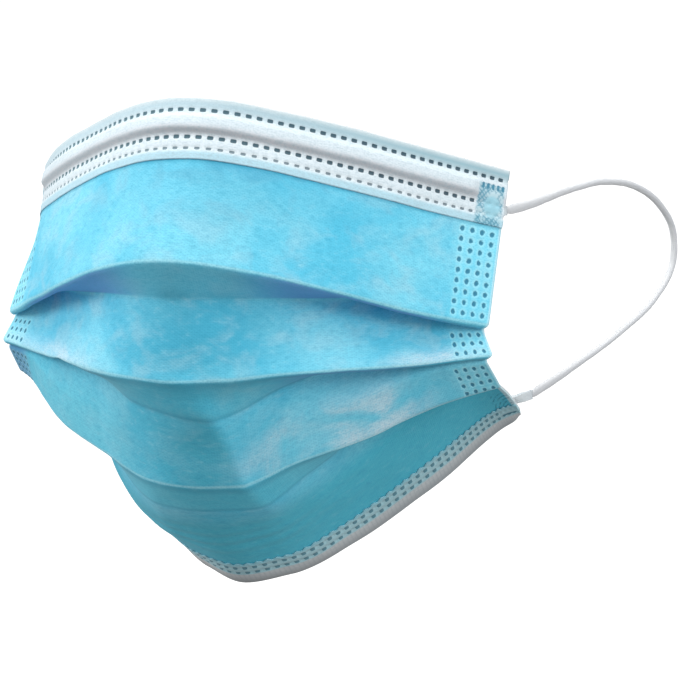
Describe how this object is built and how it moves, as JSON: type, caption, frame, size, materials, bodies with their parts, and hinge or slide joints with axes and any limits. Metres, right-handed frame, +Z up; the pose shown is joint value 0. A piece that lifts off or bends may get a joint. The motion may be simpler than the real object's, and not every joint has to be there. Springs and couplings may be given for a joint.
{
  "type": "surgical face mask",
  "caption": "Pleated three-ply surgical face mask held open as worn, with a nose-wire band and elastic ear loops.",
  "frame": {"origin": "nose bridge: the middle of the mask's top edge", "axes": "+Z up, +X towards one ear, the outside of the mask faces -Y and the face sits on the +Y side"},
  "size_m": [0.1696, 0.1534, 0.1251],
  "materials": {
    "blue_cloth": "matte spunbond nonwoven, mottled light blue",
    "white_cloth": "matte white spunbond nonwoven",
    "wire_coat": "plastic-coated flat wire",
    "elastic": "white knitted elastic cord"
  },
  "bodies": {
    "root": {"pleated_body": "blue_cloth", "top_band": "white_cloth", "nose_wire": "wire_coat", "bottom_hem": "white_cloth", "loop_end_top_right": "elastic", "loop_end_chin_right": "elastic", "ear_loop_right": "elastic", "loop_end_top_left": "elastic", "loop_end_chin_left": "elastic", "ear_loop_left": "elastic"}
  },
  "joints": []
}
